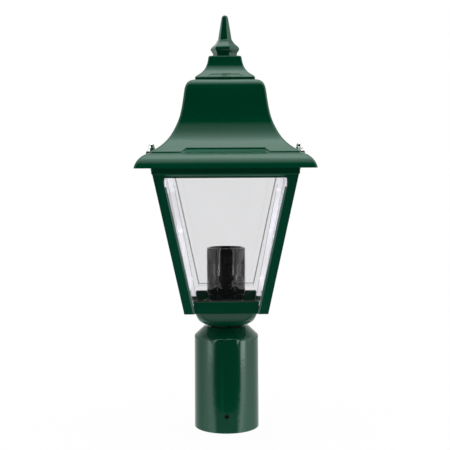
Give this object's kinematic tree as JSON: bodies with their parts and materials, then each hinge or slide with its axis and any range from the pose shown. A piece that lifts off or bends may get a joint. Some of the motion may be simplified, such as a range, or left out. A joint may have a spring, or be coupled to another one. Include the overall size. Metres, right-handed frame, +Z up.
{
  "type": "post-top lantern",
  "caption": "Square tapered post-top lantern with grooved clear panes, bell roof, finial, lamp holder and a round spigot that slips over a pole.",
  "frame": {"origin": "centre of the spigot's open bottom end", "axes": "+Z up along the pole axis, front pane faces -Y, +X to the right seen from the front"},
  "size_m": [0.1762, 0.1762, 0.4313],
  "materials": {
    "green_paint": "gloss",
    "clear_glass": "polished",
    "black_phenolic": "gloss",
    "stainless": "polished",
    "zinc_steel": "satin",
    "brass": "satin",
    "black_rubber": "matte",
    "black_oxide": "satin",
    "white_bead": "satin",
    "black_nylon": "satin",
    "white_insert": "matte",
    "wire_brown": "satin",
    "wire_blue": "satin",
    "wire_green_yellow": "satin",
    "cable_sheath": "satin"
  },
  "bodies": {
    "spigot": {"pole_spigot": "green_paint"},
    "grub_a": {"grub_screw_a": "black_oxide"},
    "grub_b": {"grub_screw_b": "black_oxide"},
    "grub_c": {"grub_screw_c": "black_oxide"},
    "head": {"base_bowl": "green_paint", "cage_frame": "green_paint", "neck_tube": "zinc_steel", "neck_nut_lower": "zinc_steel", "neck_washer_lower": "zinc_steel", "neck_nut_upper": "zinc_steel", "neck_washer_upper": "zinc_steel", "neck_gasket": "black_rubber", "cable_grommet": "black_rubber", "cage_screws": "stainless", "pane_front": "clear_glass", "pane_rear": "clear_glass", "pane_left": "clear_glass", "pane_right": "clear_glass", "pane_side_seals": "white_bead", "pane_seat_strips": "black_rubber", "glazing_beads": "white_bead", "bead_screws": "white_bead", "roof_gasket": "black_rubber", "hook_bolt_left": "stainless", "hook_bolt_right": "stainless", "holder_cap": "black_phenolic", "holder_insert": "white_insert", "screw_shell": "brass", "holder_nipple": "zinc_steel", "holder_nuts": "zinc_steel", "holder_bracket": "zinc_steel", "bracket_screws": "stainless", "terminal_block": "black_nylon", "terminal_screws": "brass", "wire_live": "wire_brown", "wire_neutral": "wire_blue", "wire_earth": "wire_green_yellow", "supply_cable": "cable_sheath", "earth_lug": "brass", "earth_screw": "brass"},
    "holder_skirt": {"holder_skirt": "black_phenolic"},
    "centre_contact": {"centre_contact": "brass"},
    "roof": {"roof_shell": "green_paint", "top_cap": "green_paint", "cap_gasket": "black_rubber", "finial_stud": "zinc_steel", "stud_nut": "zinc_steel", "stud_washer": "zinc_steel", "bolt_seals": "black_rubber", "bolt_washers": "stainless"},
    "finial": {"finial": "green_paint"},
    "cap_nut_left": {"cap_nut_left": "stainless"},
    "cap_nut_right": {"cap_nut_right": "stainless"}
  },
  "joints": [
    {"name": "head_swivel", "type": "hinge", "parent": "spigot", "child": "head", "pos_m": [0, 0, 0.1075], "axis": [0, 0, 1], "range_deg": [-170, 170]},
    {"name": "grub_a_travel", "type": "slide", "parent": "spigot", "child": "grub_a", "axis": [0, 1, 0], "range_m": [-0.004, 0.0015]},
    {"name": "grub_b_travel", "type": "slide", "parent": "spigot", "child": "grub_b", "axis": [-0.866, -0.5, 0], "range_m": [-0.004, 0.0015]},
    {"name": "grub_c_travel", "type": "slide", "parent": "spigot", "child": "grub_c", "axis": [0.866, -0.5, 0], "range_m": [-0.004, 0.0015]},
    {"name": "roof_lift", "type": "slide", "parent": "head", "child": "roof", "axis": [0, 0, 1], "range_m": [0, 0.12]},
    {"name": "finial_turn", "type": "hinge", "parent": "roof", "child": "finial", "pos_m": [0, 0, 0.388], "axis": [0, 0, 1], "continuous": true},
    {"name": "cap_nut_left_turn", "type": "hinge", "parent": "roof", "child": "cap_nut_left", "pos_m": [-0.0775, 0, 0.2918], "axis": [0, 0, 1], "continuous": true},
    {"name": "cap_nut_right_turn", "type": "hinge", "parent": "roof", "child": "cap_nut_right", "pos_m": [0.0775, 0, 0.2918], "axis": [0, 0, 1], "continuous": true},
    {"name": "holder_skirt_turn", "type": "hinge", "parent": "head", "child": "holder_skirt", "pos_m": [0, 0, 0.142], "axis": [0, 0, 1], "continuous": true},
    {"name": "centre_contact_press", "type": "slide", "parent": "head", "child": "centre_contact", "axis": [0, 0, 1], "range_m": [-0.0015, 0], "stiffness_N_per_m": 900}
  ]
}
